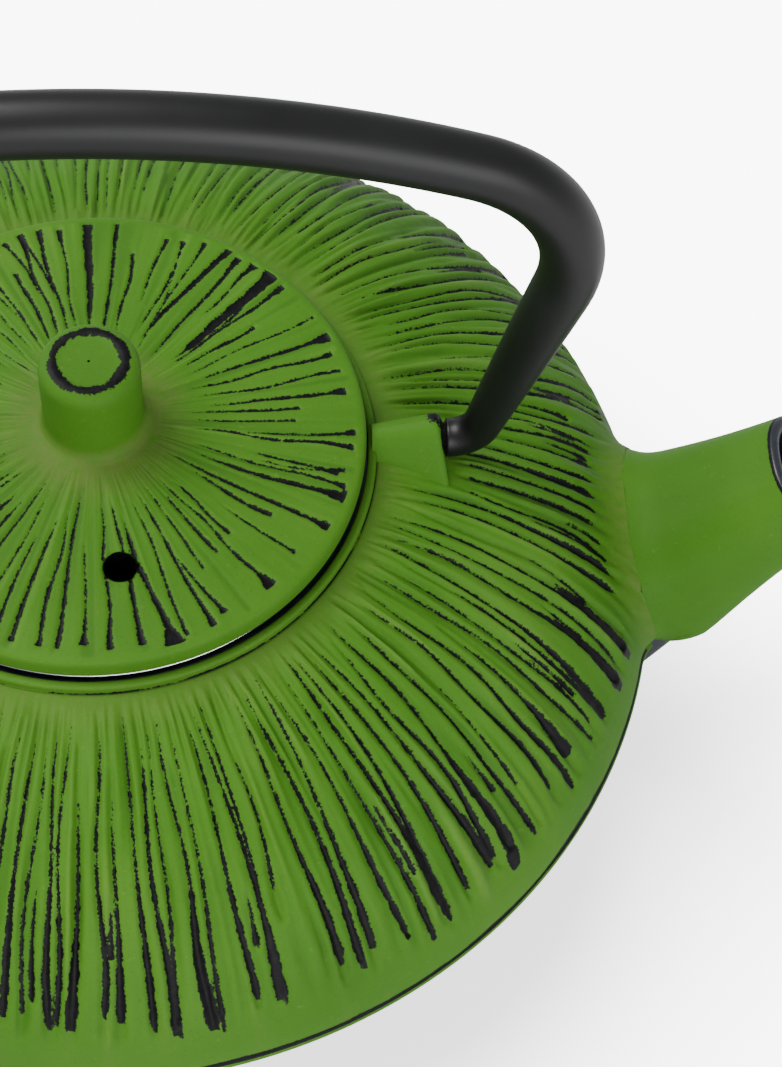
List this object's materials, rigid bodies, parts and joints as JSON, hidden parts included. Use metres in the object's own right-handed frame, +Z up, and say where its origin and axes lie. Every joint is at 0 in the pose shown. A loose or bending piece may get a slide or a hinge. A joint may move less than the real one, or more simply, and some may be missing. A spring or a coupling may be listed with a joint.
{
  "type": "cast iron teapot",
  "caption": "Low round cast iron teapot with a conical spout, a drop-in knobbed lid, a steel tea basket and a folding rod bail over the top",
  "frame": {"origin": "centre of the flat base, on the table", "axes": "+Z up, +X towards the spout, the bail hinge runs along X"},
  "size_m": [0.2096, 0.1762, 0.1513],
  "materials": {
    "iron_body": "matte green enamel rubbed back to black iron in the grooves, black enamel inside",
    "iron_lid": "matte green enamel with black rays",
    "bail_steel": "satin black",
    "basket_sheet": "bright stainless sheet",
    "basket_mesh": "fine woven stainless mesh"
  },
  "bodies": {
    "pot": {"pot_bowl": "iron_body", "pot_dome": "iron_body", "collar": "iron_body", "spout": "iron_body", "lug_front": "iron_body", "lug_rear": "iron_body"},
    "handle": {"bail": "bail_steel"},
    "basket": {"infuser_rim": "basket_sheet", "infuser_mesh": "basket_mesh", "infuser_band": "basket_sheet", "infuser_floor": "basket_mesh", "infuser_seam": "basket_sheet"},
    "cover": {"lid": "iron_lid", "lid_ring": "iron_lid", "knob": "iron_lid"}
  },
  "joints": [
    {"name": "bail_hinge", "type": "hinge", "parent": "pot", "child": "handle", "pos_m": [0, 0, 0.0742], "axis": [1, 0, 0], "range_deg": [-92, 92]},
    {"name": "basket_lift", "type": "slide", "parent": "pot", "child": "basket", "axis": [0, 0, 1], "range_m": [0, 0.045]},
    {"name": "lid_lift", "type": "slide", "parent": "basket", "child": "cover", "axis": [0, 0, 1], "range_m": [0, 0.042]}
  ]
}
